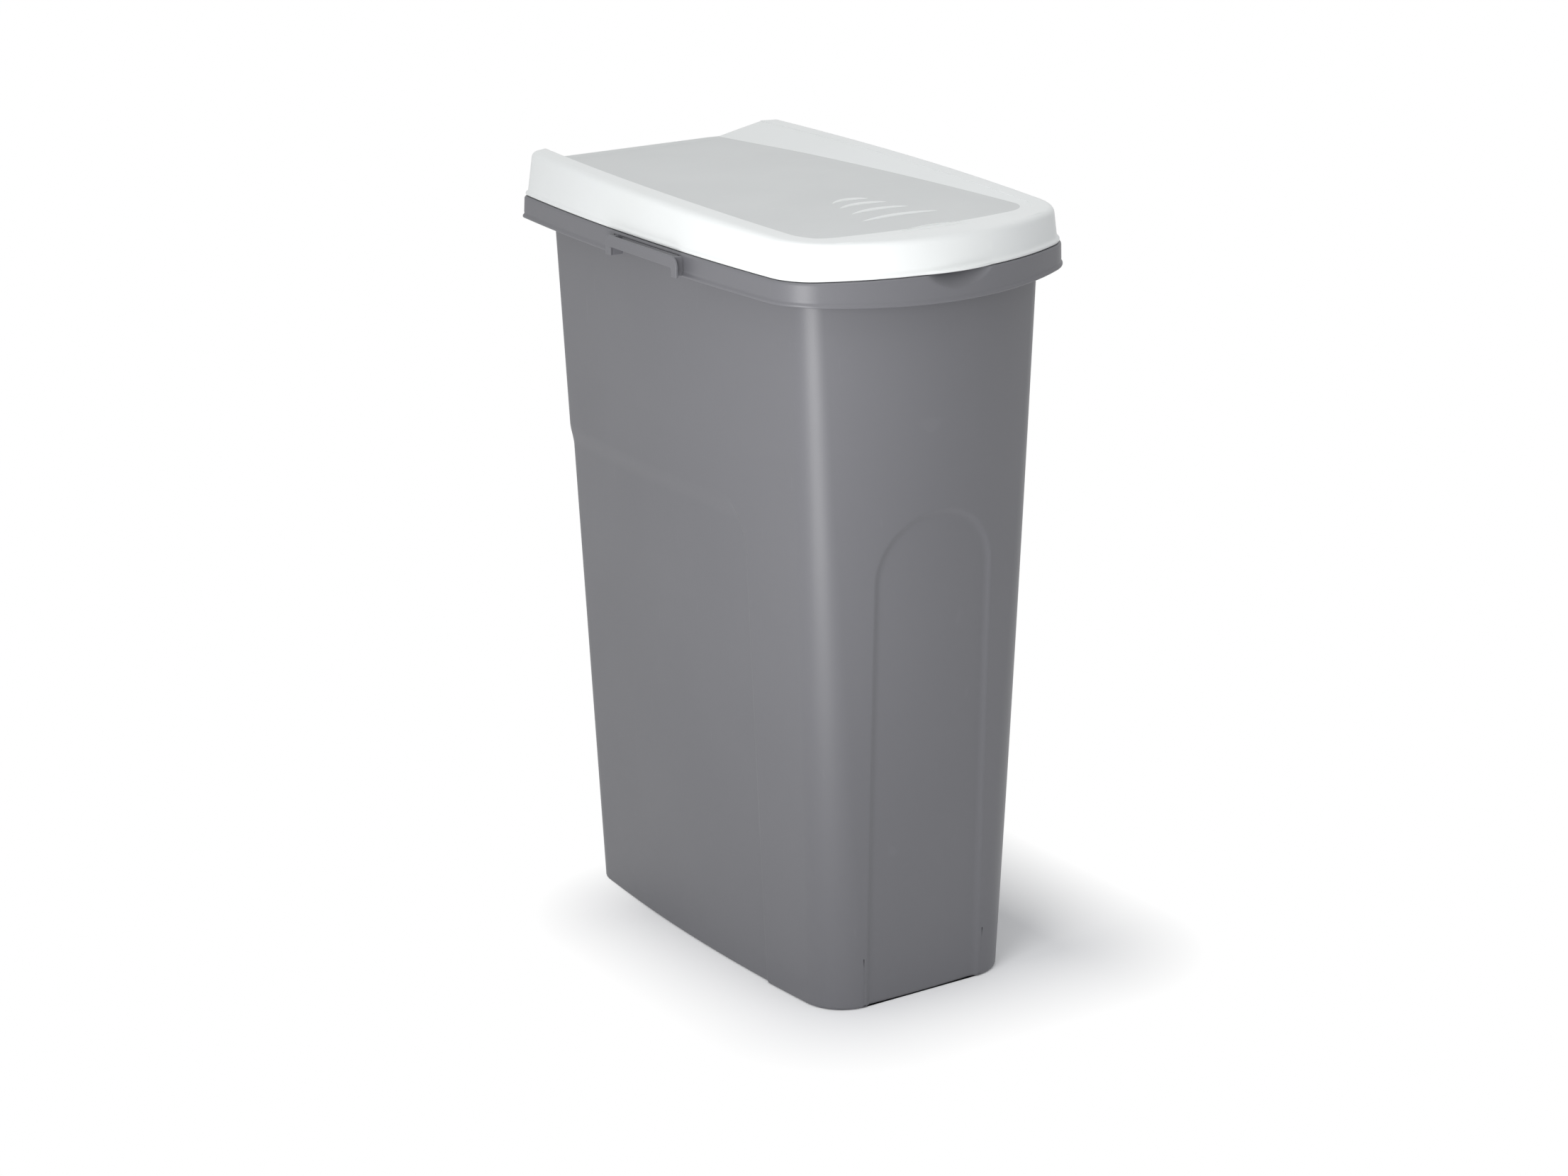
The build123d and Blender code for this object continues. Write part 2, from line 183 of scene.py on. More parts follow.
def hollowed(distance, width):
    """A crisp edge that runs out into a level floor: 0 at the edge, 1 from a width inside it."""
    return 1 - (1 - np.clip(distance / width, 0, 1)) ** 2


def recess(xy, z):
    """How far the tub's wall is sunk at the points of one level."""
    x, y = np.abs(xy[:, 0]), xy[:, 1]
    spring = arch_top - arch_half
    arch = arch_depth * hollowed(arch_half - np.hypot(x, max(z - spring, 0)), arch_blend) * (y < 0)
    inside = np.minimum(side_recess_radius, y - side_recess_front)
    below = min(side_recess_radius, side_recess_top + side_recess_ramp * side_recess_overrun - z)
    edge = side_recess_radius - np.hypot(side_recess_radius - inside, side_recess_radius - below)
    fade = smooth(side_recess_top - z, 0, side_recess_ramp)
    return arch + side_recess_depth * np.minimum(hollowed(edge, side_recess_blend), fade)


def level_ring(xy, out, z, inset):
    """Points of one level, drawn in by an inset; the height and the inset may differ from point to point."""
    inset = np.broadcast_to(inset, len(xy))
    return np.column_stack([xy - out * inset[:, None], np.broadcast_to(z, len(xy))])


def pressed(points, radius):
    """Points inside the scoop's ball are pushed out to its surface."""
    away = points - scoop_centre
    distance = np.linalg.norm(away, axis=1, keepdims=True)
    return np.where(distance < radius, scoop_centre + away * radius / distance, points)


def solid_from_rings(name, rings, capped):
    """Mesh object of closed rings of equal length joined by quads; symmetric end rings can be capped."""
    count = len(rings[0])
    faces = []
    for row in range(len(rings) - 1):
        for k in range(count):
            following = (k + 1) % count
            low, high = row * count, (row + 1) * count
            faces.append((low + k, low + following, high + following, high + k))
    half = count // 2
    for row in ((0, len(rings) - 1) if capped else ()):
        start = row * count
        for k in range(half):
            face = [start + k, start + (count - k) % count, start + count - k - 1, start + k + 1]
            corners = list(dict.fromkeys(face))
            faces.append(tuple(corners if row == 0 else reversed(corners)))
    mesh = bpy.data.meshes.new(name)
    mesh.from_pydata(np.concatenate(rings).tolist(), [], faces)
    return finished(name, mesh)


def finished(name, mesh):
    """The mesh as a smooth shaded object with true normals and crisp creases."""
    mesh.validate()
    mesh.shade_smooth()
    mesh.set_sharp_from_angle(angle=crease_angle)
    piece = bpy.data.objects.new(name, mesh)
    bpy.context.scene.collection.objects.link(piece)
    return piece


wall_heights = np.concatenate(
    [
        np.linspace(foot_edge_radius, 0.325, 18),
        np.arange(0.3275, 0.3935, 0.0014),
        np.linspace(0.398, rim_top - rim_thickness, 10),
    ]
)
tub_rings = []

# base edge and the outside of the wall
for turn in np.linspace(0, math.pi / 2, 5)[:-1]:
    z = foot_edge_radius * (1 - math.sin(turn))
    xy, out = tub_loop(foot_plan)
    tub_rings.append(level_ring(xy, out, z, recess(xy, z) + foot_edge_radius * (1 - math.cos(turn))))
tub_rings.reverse()
for z in wall_heights:
    xy, out = tub_loop(mix(foot_plan, neck_plan, z / rim_top))
    tub_rings.append(level_ring(xy, out, z, recess(xy, z)))

# underside of the rim and the inside of its skirt
lip_xy, lip_out = tub_loop(lip_plan)
crest_xy, crest_out = tub_loop(crest_plan)
in_window = (lip_xy[:, 0] < 0) & (lip_xy[:, 1] > window_front) & (lip_xy[:, 1] < window_back)
drop = front_drop * np.clip(1 - (lip_xy[:, 0] / front_drop_half) ** 2, 0, 1) * (lip_xy[:, 1] < 0)
skirt_low = np.where(in_window, window_top, rim_bottom - drop)
into_curl = np.clip(lip_xy[:, 1] - (window_front - window_curl), 0, window_curl) * (lip_xy[:, 0] < 0)
ahead_of_window = ~in_window & (lip_xy[:, 1] < window_front + window_margin)
curl = (window_curl - np.sqrt(window_curl**2 - into_curl**2)) * ahead_of_window


def skirt_ring(z, inset):
    """Points on the rim's skirt, which leans in from the lip to the crest and curls in at the strap."""
    share = np.clip((z - rim_bottom) / rim_skirt, 0, 1)[:, None]
    xy = lip_xy + (crest_xy - lip_xy) * share
    out = lip_out + (crest_out - lip_out) * share
    return level_ring(xy, out, z, inset + curl * (1 - smooth(z, rim_top - curl_fade, window_top)))


everywhere = np.ones(len(lip_xy))
ball = scoop_radius + rim_thickness
under = rim_top - rim_thickness
for reach in (0.25, 0.5, 0.75):
    inner = np.column_stack([xy, np.full(len(xy), under)])
    outer = skirt_ring(under * everywhere, rim_thickness)
    tub_rings.append(pressed(inner + (outer - inner) * reach, ball))
for share in np.linspace(1, 0, 12):
    z = skirt_low + (np.maximum(under, skirt_low) - skirt_low) * share
    tub_rings.append(pressed(skirt_ring(z, rim_thickness), ball))

# the lip's bead: height above the skirt's lower edge, and how far it stands in from the lip
bead_profile = (
    (0.0, 0.0007),
    (0.0002, 0.0003),
    (0.0007, 0.0),
    (0.0015, 0.0),
    (0.0021, 0.0002),
    (0.0025, 0.0006),
    (0.0030, 0.0009),
    (0.0038, 0.0010),
)
bead_end, bead_inset = bead_profile[-1]
squeeze = (rim_top - skirt_low) / (rim_top - rim_bottom)
for height, inset in bead_profile:
    tub_rings.append(pressed(skirt_ring(skirt_low + height * np.minimum(squeeze, 1), inset), scoop_radius))
bead_top = skirt_low + bead_end * np.minimum(squeeze, 1)
for share in np.linspace(0, 1, 15)[1:]:
    z = bead_top + (rim_top - crest_radius - bead_top) * share
    lean_in = bead_inset * (1 - np.clip((z - rim_bottom) / rim_skirt, 0, 1))
    tub_rings.append(pressed(skirt_ring(z, lean_in), scoop_radius))

# crest, top of the rim, mouth
for turn in np.linspace(0, math.pi / 2, 5)[1:]:
    z = rim_top - crest_radius * (1 - math.sin(turn))
    ring = level_ring(crest_xy, crest_out, z, crest_radius * (1 - math.cos(turn)))
    tub_rings.append(pressed(ring, scoop_radius))
for inset in rim_top_insets:
    tub_rings.append(pressed(level_ring(crest_xy, crest_out, rim_top, inset), scoop_radius))
neck_xy, neck_out = tub_loop(neck_plan)
for turn in np.linspace(0, math.pi / 2, 4):
    z = rim_top - mouth_radius * (1 - math.cos(turn))
    tub_rings.append(level_ring(neck_xy, neck_out, z, tub_wall - mouth_radius * (1 - math.sin(turn))))

# inside of the wall and the floor
for z in wall_heights[::-1][1:]:
    if z > tub_floor + floor_edge_radius:
        xy, out = tub_loop(mix(foot_plan, neck_plan, z / rim_top))
        tub_rings.append(level_ring(xy, out, z, tub_wall + recess(xy, z)))
for turn in np.linspace(0, math.pi / 2, 5):
    z = tub_floor + floor_edge_radius * (1 - math.sin(turn))
    xy, out = tub_loop(mix(foot_plan, neck_plan, z / rim_top))
    inset = tub_wall + recess(xy, z) + floor_edge_radius * (1 - math.cos(turn))
    tub_rings.append(level_ring(xy, out, z, inset))

tub = solid_from_rings("tub_shell", tub_rings, capped=True)


def node_group(name, inputs, outputs):
    """An empty shader node group with the given sockets, and its group input and output nodes."""
    group = bpy.data.node_groups.new(name, "ShaderNodeTree")
    kinds = {"float": "NodeSocketFloat", "vector": "NodeSocketVector", "color": "NodeSocketColor"}
    for socket, kind in inputs:
        group.interface.new_socket(name=socket, in_out="INPUT", socket_type=kinds[kind])
    for socket, kind in outputs:
        group.interface.new_socket(name=socket, in_out="OUTPUT", socket_type=kinds[kind])
    return group, group.nodes.new("NodeGroupInput"), group.nodes.new("NodeGroupOutput")


def noise(tree, vector, scale, detail, roughness=0.5):
    """A noise texture node fed by a vector socket; the scale is in cells per metre."""
    node = tree.nodes.new("ShaderNodeTexNoise")
    node.inputs["Scale"].default_value = scale
    node.inputs["Detail"].default_value = detail
    node.inputs["Roughness"].default_value = roughness
    tree.links.new(vector, node.inputs["Vector"])
    return node.outputs["Fac"]


def blend_range(tree, value, from_low, from_high, to_low, to_high):
    """A value moved smoothly from one range to another; any end may be a socket."""
    node = tree.nodes.new("ShaderNodeMapRange")
    ends = {"From Min": from_low, "From Max": from_high, "To Min": to_low, "To Max": to_high}
    tree.links.new(value, node.inputs["Value"])
    for socket, end in ends.items():
        if isinstance(end, bpy.types.NodeSocket):
            tree.links.new(end, node.inputs[socket])
        else:
            node.inputs[socket].default_value = end
    return node.outputs["Result"]


def mixed_colors(tree, factor, first, second):
    """Two colours mixed by a factor socket."""
    node = tree.nodes.new("ShaderNodeMix")
    node.data_type = "RGBA"
    tree.links.new(factor, node.inputs[0])
    for socket, color in ((node.inputs[6], first), (node.inputs[7], second)):
        if isinstance(color, bpy.types.NodeSocket):
            tree.links.new(color, socket)
        else:
            socket.default_value = (*color, 1)
    return node.outputs[2]


# Spark eroded grain of the mould: fine pits and a slight drift of gloss
grain, grain_in, grain_out = node_group(
    "spark grain",
    (("Position", "vector"), ("Pits per Metre", "float"), ("Gloss Low", "float"), ("Gloss High", "float")),
    (("Height", "float"), ("Roughness", "float")),
)
pits = grain.nodes.new("ShaderNodeTexNoise")
pits.inputs["Detail"].default_value = 2.0
grain.links.new(grain_in.outputs["Position"], pits.inputs["Vector"])
grain.links.new(grain_in.outputs["Pits per Metre"], pits.inputs["Scale"])
drift = noise(grain, grain_in.outputs["Position"], 9.0, 3.0)
gloss = blend_range(grain, drift, 0.3, 0.7, grain_in.outputs["Gloss Low"], grain_in.outputs["Gloss High"])
pit_gloss = blend_range(grain, pits.outputs["Fac"], 0.3, 0.7, -0.03, 0.03)
total = grain.nodes.new("ShaderNodeMath")
grain.links.new(gloss, total.inputs[0])
grain.links.new(pit_gloss, total.inputs[1])
grain.links.new(pits.outputs["Fac"], grain_out.inputs["Height"])
grain.links.new(total.outputs[0], grain_out.inputs["Roughness"])

# Handling: faint rubbed patches and a few fine hairline scratches, as a mask
handling, handling_in, handling_out = node_group(
    "handling marks",
    (("Position", "vector"), ("Rubs per Metre", "float"), ("Hairlines per Metre", "float")),
    (("Rubbed", "float"), ("Scratched", "float")),
)
rubs = handling.nodes.new("ShaderNodeTexNoise")
rubs.inputs["Detail"].default_value = 4.0
handling.links.new(handling_in.outputs["Position"], rubs.inputs["Vector"])
handling.links.new(handling_in.outputs["Rubs per Metre"], rubs.inputs["Scale"])
slant = handling.nodes.new("ShaderNodeMapping")
slant.inputs["Rotation"].default_value = (0.3, 0.5, 0.9)
slant.inputs["Scale"].default_value = (1.0, 14.0, 1.0)
handling.links.new(handling_in.outputs["Position"], slant.inputs["Vector"])
hairs = handling.nodes.new("ShaderNodeTexNoise")
hairs.inputs["Detail"].default_value = 2.0
handling.links.new(slant.outputs["Vector"], hairs.inputs["Vector"])
handling.links.new(handling_in.outputs["Hairlines per Metre"], hairs.inputs["Scale"])
rubbed = blend_range(handling, rubs.outputs["Fac"], 0.42, 0.68, 0, 1)
scratched = blend_range(handling, hairs.outputs["Fac"], 0.70, 0.76, 0, 1)
handling.links.new(rubbed, handling_out.inputs["Rubbed"])
handling.links.new(scratched, handling_out.inputs["Scratched"])


def moulded_plastic(
    name, color, rubbed_color, pits, pit_depth, gloss_low, gloss_high, rub_scale, specular, sheen
):
    """Injection moulded polypropylene: grain, drifting gloss, rubbed patches and hairlines."""
    material = bpy.data.materials.new(name)
    material.use_nodes = True
    tree = material.node_tree
    shader = tree.nodes["Principled BSDF"]
    place = tree.nodes.new("ShaderNodeTexCoord").outputs["Object"]
    surface = tree.nodes.new("ShaderNodeGroup")
    surface.node_tree = grain
    surface.inputs["Pits per Metre"].default_value = pits
    surface.inputs["Gloss Low"].default_value = gloss_low
    surface.inputs["Gloss High"].default_value = gloss_high
    marks = tree.nodes.new("ShaderNodeGroup")
    marks.node_tree = handling
    marks.inputs["Rubs per Metre"].default_value = rub_scale
    marks.inputs["Hairlines per Metre"].default_value = 26.0
    for group in (surface, marks):
        tree.links.new(place, group.inputs["Position"])
    patchy = mixed_colors(tree, marks.outputs["Rubbed"], color, rubbed_color)
    lighter = tuple(min(1.0, 1.03 * value + 0.001) for value in rubbed_color)
    tone = mixed_colors(tree, marks.outputs["Scratched"], patchy, lighter)
    tree.links.new(tone, shader.inputs["Base Color"])
    tree.links.new(surface.outputs["Roughness"], shader.inputs["Roughness"])
    bump = tree.nodes.new("ShaderNodeBump")
    bump.inputs["Strength"].default_value = 0.35
    bump.inputs["Distance"].default_value = pit_depth
    tree.links.new(surface.outputs["Height"], bump.inputs["Height"])
    tree.links.new(bump.outputs["Normal"], shader.inputs["Normal"])
    shader.inputs["Specular IOR Level"].default_value = specular
    shader.inputs["Sheen Weight"].default_value = sheen
    return material


grey_plastic = moulded_plastic(
    "dark grey polypropylene",
    color=(0.135, 0.135, 0.147),
    rubbed_color=(0.138, 0.138, 0.150),
    pits=1500.0,
    pit_depth=0.00012,
    gloss_low=0.42,
    gloss_high=0.47,
    rub_scale=7.0,
    specular=0.62,
    sheen=0.0,
)
tub.data.materials.append(grey_plastic)
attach(tub, "tub")
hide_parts("tub")


# Coupling strap: a flat plate on two webs, moulded with the tub on the left of the rim. It stands off the
# skirt by the thickness of a neighbour's rim, so that two bins hook together.
strap_face = -0.1377
strap_thickness = 0.002
strap_bottom = rim_bottom + 0.0006
strap_top = rim_top - 0.0015
strap_bar = 0.0085
strap_leg = 0.007
strap_corner_front = 0.008
strap_corner_back = 0.0045
strap_inner_corner = 0.0012
web_reach = -0.1268
web_below_top = 0.0004
strap_edge_radius = 0.0004


def rounded(corners, radii, steps=8):
    """A closed outline of straight runs whose corners are arcs of the given radii."""
    points = []
    count = len(corners)
    for k, radius in enumerate(radii):
        corner = Vector(corners[k])
        back = (Vector(corners[k - 1]) - corner).normalized()
        ahead = (Vector(corners[(k + 1) % count]) - corner).normalized()
        if radius == 0:
            points.append(tuple(corner))
            continue
        half_angle = back.angle(ahead) / 2
        centre = corner + (back + ahead).normalized() * radius / math.sin(half_angle)
        start = corner + back * radius / math.tan(half_angle) - centre
        end = corner + ahead * radius / math.tan(half_angle) - centre
        turn = start.angle_signed(end)
        for step in range(steps + 1):
            angle = -turn * step / steps
            swung = Matrix.Rotation(angle, 2) @ start
            points.append(tuple(centre + swung))
    return points


def plate(outline, low_x, high_x, start):
    """Vertices and faces of an outline in Y and Z, extruded along X; the faces count from start."""
    count = len(outline)
    vertices = [(x, y, z) for x in (low_x, high_x) for y, z in outline]
    faces = [tuple(start + k for k in range(count)), tuple(start + count + k for k in reversed(range(count)))]
    for k in range(count):
        following = (k + 1) % count
        faces.append((start + following, start + k, start + count + k, start + count + following))
    return vertices, faces


def plates_object(name, plates, edge_radius):
    """One object made of extruded outlines (outline, low x, high x), with softly rounded edges."""
    vertices, faces = [], []
    for outline, low_x, high_x in plates:
        new_vertices, new_faces = plate(outline, low_x, high_x, len(vertices))
        vertices += new_vertices
        faces += new_faces
    mesh = bpy.data.meshes.new(name)
    mesh.from_pydata(vertices, [], faces)
    piece = finished(name, mesh)
    bevel = piece.modifiers.new("moulded edge", "BEVEL")
    bevel.width = edge_radius
    bevel.segments = 3
    bevel.limit_method = "ANGLE"
    bevel.angle_limit = math.radians(50)
    return piece


strap_outline = rounded(
    (
        (strap_front, strap_bottom),
        (strap_front, strap_top),
        (strap_back, strap_top),
        (strap_back, strap_bottom),
        (strap_back - strap_leg, strap_bottom),
        (strap_back - strap_leg, strap_top - strap_bar),
        (strap_front + strap_leg, strap_top - strap_bar),
        (strap_front + strap_leg, strap_bottom),
    ),
    (0, strap_corner_front, strap_corner_back, 0, 0, strap_inner_corner, strap_inner_corner, 0),
)
strap_parts = [(strap_outline, strap_face, strap_face + strap_thickness)]
for web in (strap_front + strap_leg - tub_wall, strap_back - strap_leg):
    web_top = strap_top - web_below_top
    web_outline = (
        (web, strap_bottom),
        (web, web_top),
        (web + tub_wall, web_top),
        (web + tub_wall, strap_bottom),
    )
    strap_parts.append((web_outline, strap_face + strap_thickness / 2, web_reach))
strap = plates_object("coupling_strap", strap_parts, strap_edge_radius)
strap.data.materials.append(grey_plastic)
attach(strap, "tub")


# Hinge ears: four lugs of the tub's grey polypropylene, moulded on the back of the rim's skirt. There is a
# pair for each of the lid's two arms, which turn between them.
hinge_y = 0.1997
hinge_z = 0.560
hinge_half_spacing = 0.070
knuckle_length = 0.020
knuckle_radius = 0.0055
ear_thickness = 0.004
ear_radius = 0.006
ear_gap = 0.0005
ear_root = crest_plan.back - tub_wall
ear_below_rim = 0.0003
ear_edge_radius = 0.0005


def quarter_points(centre_y, centre_z, radius, start, end, steps=12):
    """Points on an arc in Y and Z, from one angle to another."""
    angles = np.linspace(start, end, steps + 1)
    return [(centre_y + radius * math.cos(a), centre_z + radius * math.sin(a)) for a in angles]


ear_outline = [(ear_root, rim_top - ear_below_rim), (ear_root, hinge_z - ear_radius - tub_wall)]
ear_outline += quarter_points(hinge_y, hinge_z, ear_radius, -math.pi / 2, math.pi / 2)
ear_outline.reverse()
ear_parts = []
for side in (-1, 1):
    for offset in (-knuckle_length / 2 - ear_gap - ear_thickness, knuckle_length / 2 + ear_gap):
        ear_x = side * hinge_half_spacing + offset
        ear_parts.append((ear_outline, ear_x, ear_x + ear_thickness))
ears = plates_object("hinge_ears", ear_parts, ear_edge_radius)
ears.data.materials.append(grey_plastic)
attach(ears, "tub")


# Hinge pins: two plain grey pins with flat heads, pushed from outside through the ears and the lid's arms.
# The solids from model.glb are kept, and get their finish here.
pin_plastic = moulded_plastic(
    "pin polypropylene",
    color=(0.130, 0.130, 0.140),
    rubbed_color=(0.150, 0.150, 0.160),
    pits=2600.0,
    pit_depth=0.00005,
    gloss_low=0.30,
    gloss_high=0.38,
    rub_scale=60.0,
    specular=0.5,
    sheen=0.0,
)
for pin in ("left_hinge_pin", "right_hinge_pin"):
    pin_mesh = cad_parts[pin].data
    for index in range(len(pin_mesh.materials)):
        pin_mesh.materials[index] = pin_plastic
    if not pin_mesh.materials:
        pin_mesh.materials.append(pin_plastic)


# Lid: one thin white polypropylene moulding that drops over the mouth and rests on the rim. Two rails rise
# towards the back along its sides, with a sunk panel between them. The panel's slope is short and steep
# on the left and a long even ramp on the right. Towards the back the top leans a little to the left.
lid_low = rim_top + 0.0004
lid_wall = 0.0022
edge_plan = Plan(0.1293, 0.2164, 0.1918, 0.0090, 0.0373, 0.0395, 0.0060)
waist_plan = Plan(0.1277, 0.2148, 0.1902, 0.0090, 0.0373, 0.0395, 0.0060)
crown_plan = Plan(0.1217, 0.2145, 0.1874, 0.0090, 0.0285, 0.0519, 0.0060)
rail_plan = Plan(0.1065, 0.1905, 0.1974, 0.0070, 0.0110, 0.0360, 0.0110)
waist_height = lid_low + 0.0055
crown_height = 0.6024
lid_front_height = lid_low + 0.026
lid_back_height = lid_low + 0.0347
panel_front_height = lid_front_height - 0.0005
panel_back_height = lid_back_height - 0.0083
lid_edge_radius = 0.005
lid_back_radius = 0.002
panel_step = 0.0005
front_slope = 0.010
left_slope_lead = 0.001
left_slope_run = 0.5
strip_front = 0.1742
strip_rise = 0.00025
ramp_rise = 0.20
ramp_lead = 0.001
rail_draw_in = 0.004
lean_start = -0.10
lean_reach = 0.0025
draw_in_start = 0.07
strip_edge = 0.0004
behind_strip = 0.18


def lid_slope(y):
    """Height of the rails from front to back."""
    share = (y + crown_plan.front) / (crown_plan.front + crown_plan.back)
    return lid_front_height + (lid_back_height - lid_front_height) * share


def panel_height(y):
    """Height of the sunk panel from front to back."""
    share = (y + crown_plan.front) / (crown_plan.front + crown_plan.back)
    return panel_front_height + (panel_back_height - panel_front_height) * share


lid_front_marks = np.linspace(0, 0.034, 18)
lid_side_marks = np.linspace(-0.12, 0.16, 40)
lid_counts = (8, 22, 3, 8)


def lid_curve(plan, side_end=None):
    """The U of one level: from the back left corner by the front to the back right one."""
    front_steps, corner_steps, side_steps, back_corner_steps = lid_counts
    if side_end is None:
        xy, out = half_outline(
            plan, lid_front_marks, front_steps, corner_steps, lid_side_marks, side_steps, back_corner_steps, 0
        )
    else:
        # the rail's line has no back corner, so its side carries as many points as side and corner together
        count = len(lid_side_marks) + back_corner_steps + side_steps
        before_strip = np.linspace(lid_side_marks[0], strip_front - strip_edge, count - 3)
        marks = np.append(before_strip, [strip_front + strip_edge, behind_strip, side_end])
        xy, out = half_outline(plan, lid_front_marks, front_steps, corner_steps, marks, side_steps, 1, 0)
        count = len(lid_front_marks) + front_steps + corner_steps + side_steps - 1 + len(marks)
        xy, out = xy[:count], out[:count]
    flip = np.array([-1.0, 1.0])
    return np.concatenate([xy[:0:-1] * flip, xy]), np.concatenate([out[:0:-1] * flip, out])


crown_u, crown_out_u = lid_curve(crown_plan)
rail_u, rail_out_u = lid_curve(rail_plan, crown_plan.back - lid_back_radius)
on_right = rail_u[:, 0] > 0
rail_u[:, 0] -= rail_draw_in * smooth(rail_u[:, 1], draw_in_start, crown_plan.back) * on_right
ahead = np.minimum(rail_out_u[:, 1], 0)
depth = lid_slope(rail_u[:, 1]) - panel_step - panel_height(rail_u[:, 1])
slope_width = np.where(on_right, ramp_lead + depth / ramp_rise, left_slope_lead + depth * left_slope_run)
slope_width += (front_slope - slope_width) * ahead**2
foot_u = rail_u - np.column_stack([slope_width * rail_out_u[:, 0], slope_width * ahead])

# rings of the top, from its edge by the rail, its step and the slope to the foot of the panel;
# the step's rings say how far they lie inside the rail's line, and how deep
rail_step_profile = ((-0.0002, 0.0), (0.0, 0.00006), (0.00015, 0.00042), (0.0003, panel_step))
slope_shares = (0.98, 0.94, 0.87, 0.78, 0.67, 0.55, 0.43, 0.31, 0.20, 0.11, 0.05, 0.02, 0.0)
ramp_round = 0.08
inside_foot = 0.0008
top_rings = []
edge_u = crown_u - crown_out_u * lid_edge_radius
for share in np.linspace(0, 1, 7)[:-1]:
    xy = edge_u + (rail_u - rail_out_u * rail_step_profile[0][0] - edge_u) * share
    top_rings.append(np.column_stack([xy, lid_slope(xy[:, 1])]))
for inward, sunk in rail_step_profile:
    xy = rail_u - rail_out_u * inward
    top_rings.append(np.column_stack([xy, lid_slope(xy[:, 1]) - sunk]))
slope_start = rail_u - rail_out_u * rail_step_profile[-1][0]
for turn in slope_shares:
    ramp = turn * (1 + ramp_round - ramp_round * turn)
    rise = np.where(on_right, ramp, 3 * turn**2 - 2 * turn**3)
    xy = foot_u + (slope_start - foot_u) * turn
    foot_z = panel_height(xy[:, 1])
    climb = lid_slope(slope_start[:, 1]) - panel_step - foot_z
    top_rings.append(np.column_stack([xy, foot_z + climb * rise]))
xy = foot_u - inside_foot * np.column_stack([rail_out_u[:, 0], ahead])
top_rings.append(np.column_stack([xy, panel_height(xy[:, 1])]))
panel_steps = 14
u_count = len(top_rings[0])
middle = u_count // 2

# vertices of the top: the rings, then the panel's rungs from left to right behind the foot line
top_vertices = [tuple(p) for ring in top_rings for p in ring]
top_faces = []
for row in range(len(top_rings) - 1):
    for k in range(u_count - 1):
        low, high = row * u_count, (row + 1) * u_count
        top_faces.append((low + k, low + k + 1, high + k + 1, high + k))
ring_face_count = len(top_faces)
last_row = (len(top_rings) - 1) * u_count
rungs = []
for k in range(middle):
    left, right = last_row + k, last_row + u_count - 1 - k
    a, b = np.array(top_vertices[left]), np.array(top_vertices[right])
    rung = [left]
    for step in range(1, panel_steps):
        rung.append(len(top_vertices))
        x, y, z = a + (b - a) * step / panel_steps
        top_vertices.append((x, y, z + strip_rise * (y > strip_front)))
    rungs.append(rung + [right])
for first, second in zip(rungs, rungs[1:]):
    for step in range(panel_steps):
        top_faces.append((first[step], second[step], second[step + 1], first[step + 1]))
tip = last_row + middle
for step in range(panel_steps):
    top_faces.append((rungs[-1][step], tip, rungs[-1][step + 1]))
top_vertices = np.array(top_vertices)

# the top's border: the edge ring, then the back edge from right to left
right_end = [row * u_count + u_count - 1 for row in range(1, len(top_rings))]
left_end = [row * u_count for row in range(len(top_rings) - 1, 0, -1)]
border = list(range(u_count)) + right_end + rungs[0][1:-1][::-1] + left_end
border_top = top_vertices[border]
radius_at = np.full(len(border), lid_edge_radius)
radius_at[u_count:] = crown_plan.back - border_top[u_count:, 1]


def lid_loop(plan):
    """A closed level of the lid under the border: the U, then the back with its points spread as on top."""
    xy, out = lid_curve(plan)
    back_x = border_top[u_count:, 0] * xy[-1, 0] / crown_u[-1, 0]
    back = np.column_stack([back_x, np.full(len(back_x), plan.back)])
    back_out = np.tile([0.0, 1.0], (len(back_x), 1))
    return np.concatenate([xy, back]), np.concatenate([out, back_out])


crown_xy, crown_out = lid_loop(crown_plan)
waist_xy = lid_loop(waist_plan)[0]
edge_xy, edge_out = lid_loop(edge_plan)
lid_top_z = border_top[:, 2]


def lid_wall_ring(z, inset):
    """Points on the lid's side wall, which leans in from the waist to the crown."""
    share = ((z - waist_height) / (crown_height - waist_height))[:, None]
    xy = waist_xy + (crown_xy - waist_xy) * share
    return level_ring(xy, crown_out, z, inset)


wall_rings = []
for turn in np.linspace(math.pi / 2, 0, 8)[1:]:
    z = lid_top_z - radius_at * (1 - math.sin(turn))
    wall_rings.append(lid_wall_ring(z, radius_at * (1 - math.cos(turn))))
for share in np.linspace(1, 0, 6)[1:]:
    z = waist_height + (lid_top_z - radius_at - waist_height) * share
    wall_rings.append(lid_wall_ring(z, 0.0))

# bead round the bottom, and the lens shaped finger lip over the scoop:
# height above the lid's lower edge, share of the bead's reach, share of the finger lip's reach
lid_bead_profile = (
    (0.0042, 0.12, 0.0),
    (0.0033, 0.40, 0.0),
    (0.0028, 0.70, 0.0),
    (0.0026, 0.80, 0.05),
    (0.0024, 0.90, 0.85),
    (0.0020, 1.0, 1.0),
    (0.0009, 1.0, 1.0),
    (0.0003, 0.82, 0.90),
    (0.0, 0.50, 0.75),
)
finger_lip_half = 0.029
finger_lip_reach = 0.0024
lens = np.clip(1 - (edge_xy[:, 0] / finger_lip_half) ** 2, 0, 1) * (edge_xy[:, 1] < 0)
for height, bead, finger in lid_bead_profile:
    xy = waist_xy + (edge_xy - waist_xy) * bead
    wall_rings.append(level_ring(xy, edge_out, lid_low + height, -finger_lip_reach * finger * lens))

